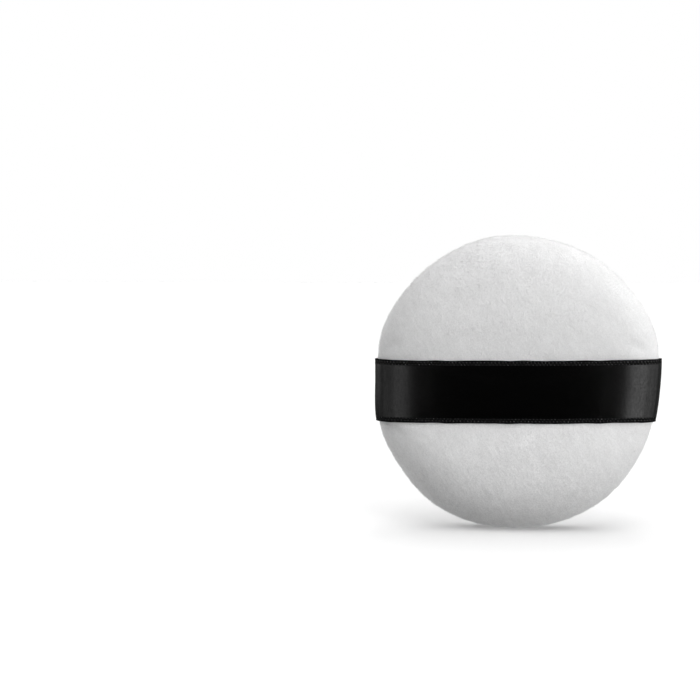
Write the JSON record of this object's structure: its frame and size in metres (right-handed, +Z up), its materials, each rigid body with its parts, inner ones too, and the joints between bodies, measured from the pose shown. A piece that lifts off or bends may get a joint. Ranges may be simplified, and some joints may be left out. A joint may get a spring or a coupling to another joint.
{
  "type": "powder puff",
  "caption": "Round velour powder puff: two soft domed covers sewn at the rim over a sponge core, with a satin finger ribbon across the front.",
  "frame": {"origin": "on the surface the puff stands on, under the middle of its outline and of its thickness", "axes": "+Z up, across the ribbon; +X along the ribbon, to the right as seen from the front; -Y out of the ribbon side, so +Y runs through the thickness to the powder side"},
  "size_m": [0.088, 0.0247, 0.0894],
  "materials": {
    "velour": "short cut pile, matt",
    "sponge": "open-cell foam",
    "satin": "black satin weave",
    "thread": "spun sewing thread"
  },
  "bodies": {
    "puff": {"front_cover": "velour", "back_cover": "velour", "sponge_core": "sponge", "rim_seam_thread": "thread", "closing_thread": "thread", "left_ribbon_tack": "thread", "right_ribbon_tack": "thread"},
    "finger_strap": {"ribbon_strap": "satin"}
  },
  "joints": [
    {"name": "ribbon_lift", "type": "slide", "parent": "puff", "child": "finger_strap", "axis": [0, -1, 0], "range_m": [0, 0.006], "stiffness_N_per_m": 40, "deforming": ["ribbon_strap"]}
  ]
}
